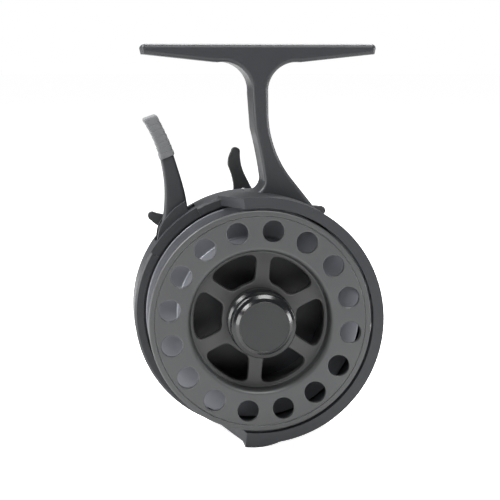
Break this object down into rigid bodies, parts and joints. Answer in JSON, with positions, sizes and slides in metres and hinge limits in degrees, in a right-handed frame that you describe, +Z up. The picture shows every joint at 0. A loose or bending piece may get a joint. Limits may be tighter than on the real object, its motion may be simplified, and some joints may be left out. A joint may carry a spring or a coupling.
{
  "type": "fly reel",
  "caption": "Inline ice-fishing fly reel: drilled large-arbor spool in a half cage under a T-shaped foot, with a finger trigger, star drag and single crank.",
  "frame": {"origin": "middle of the foot's flat top, where the rod's seat rests on it", "axes": "+Z up towards the rod, the spool's face looks along -Y, X runs along the rod"},
  "size_m": [0.0677, 0.0726, 0.11],
  "materials": {
    "graphite_frame": "moulded graphite-filled nylon, satin black",
    "grey_aluminium": "gunmetal anodised",
    "black_aluminium": "black anodised",
    "gloss_black": "gloss black",
    "grip_rubber": "matt black elastomer",
    "steel": "ground",
    "dark_steel": "black oxide",
    "spring_steel": "drawn wire",
    "brass": "cut",
    "friction_felt": "oiled felt"
  },
  "bodies": {
    "frame": {"frame": "graphite_frame", "rear_cover": "graphite_frame", "cover_screws": "dark_steel", "axle": "steel", "trigger_housing": "graphite_frame", "trigger_pin": "steel", "trigger_spring": "spring_steel", "yoke_post_0": "steel", "yoke_post_1": "steel", "yoke_spring_0": "spring_steel", "yoke_spring_1": "spring_steel", "shaft_bush": "brass", "one_way_bearing": "steel", "bearing_spacer": "brass", "tension_washer": "steel", "tension_spring": "spring_steel"},
    "crank": {"drive_shaft": "steel", "front_drag_washer": "friction_felt", "rear_drag_washer": "friction_felt", "pressure_plate": "steel", "clutch_sleeve": "steel", "star_springs": "spring_steel", "handle_arm": "black_aluminium", "handle_nut": "dark_steel", "knob_spindle": "steel"},
    "gear": {"drive_gear": "brass"},
    "yoke": {"clutch_yoke": "brass"},
    "pinion": {"pinion_gear": "brass"},
    "slide": {"clutch_slide": "steel"},
    "trigger": {"trigger_lever": "graphite_frame", "trigger_pad": "grip_rubber"},
    "spool": {"spool": "grey_aluminium", "drive_dog": "steel", "front_bearing": "steel", "rear_bearing": "steel"},
    "star": {"star_drag": "black_aluminium"},
    "grip": {"handle_knob": "grip_rubber", "knob_cap": "gloss_black"},
    "tension": {"tension_knob": "gloss_black"}
  },
  "joints": [
    {"name": "crank_turn", "type": "hinge", "parent": "frame", "child": "crank", "pos_m": [-0.00332, 0.0235, -0.05754], "axis": [0, 1, 0], "continuous": true},
    {"name": "gear_turn", "type": "hinge", "parent": "frame", "child": "gear", "pos_m": [-0.00332, 0.0065, -0.05754], "axis": [0, 1, 0], "continuous": true},
    {"name": "spool_turn", "type": "hinge", "parent": "frame", "child": "spool", "pos_m": [-0.00115, -0.0205, -0.075], "axis": [0, 1, 0], "continuous": true},
    {"name": "trigger_pull", "type": "hinge", "parent": "frame", "child": "trigger", "pos_m": [-0.02307, 0.0045, -0.05308], "axis": [0, 1, 0], "range_deg": [0, 12], "stiffness_Nm_per_rad": 0.25, "springref_deg": -8.59},
    {"name": "slide_shift", "type": "slide", "parent": "frame", "child": "slide", "axis": [-0.7071, 0, -0.7071], "range_m": [0, 0.00188]},
    {"name": "yoke_shift", "type": "slide", "parent": "frame", "child": "yoke", "axis": [0, 1, 0], "range_m": [0, 0.00188], "deforming": ["yoke_spring_0", "yoke_spring_1"]},
    {"name": "pinion_turn", "type": "hinge", "parent": "yoke", "child": "pinion", "pos_m": [-0.00115, 0.0055, -0.075], "axis": [0, 1, 0], "continuous": true},
    {"name": "star_turn", "type": "hinge", "parent": "crank", "child": "star", "pos_m": [-0.00332, 0.0205, -0.05754], "axis": [0, 1, 0], "range_deg": [-120, 120]},
    {"name": "grip_turn", "type": "hinge", "parent": "crank", "child": "grip", "pos_m": [0.00141, 0.0345, -0.0912], "axis": [0, 1, 0], "continuous": true},
    {"name": "tension_turn", "type": "hinge", "parent": "frame", "child": "tension", "pos_m": [-0.00115, -0.0245, -0.075], "axis": [0, 1, 0], "range_deg": [-180, 180]}
  ],
  "couplings": [
    {"joint": "gear_turn", "follows": "crank_turn", "ratio": 1},
    {"joint": "pinion_turn", "follows": "crank_turn", "ratio": -2.6667},
    {"joint": "spool_turn", "follows": "crank_turn", "ratio": -2.6667},
    {"joint": "trigger_pull", "follows": "slide_shift", "rad_per_m": 111.11},
    {"joint": "yoke_shift", "follows": "slide_shift", "ratio": 1}
  ]
}
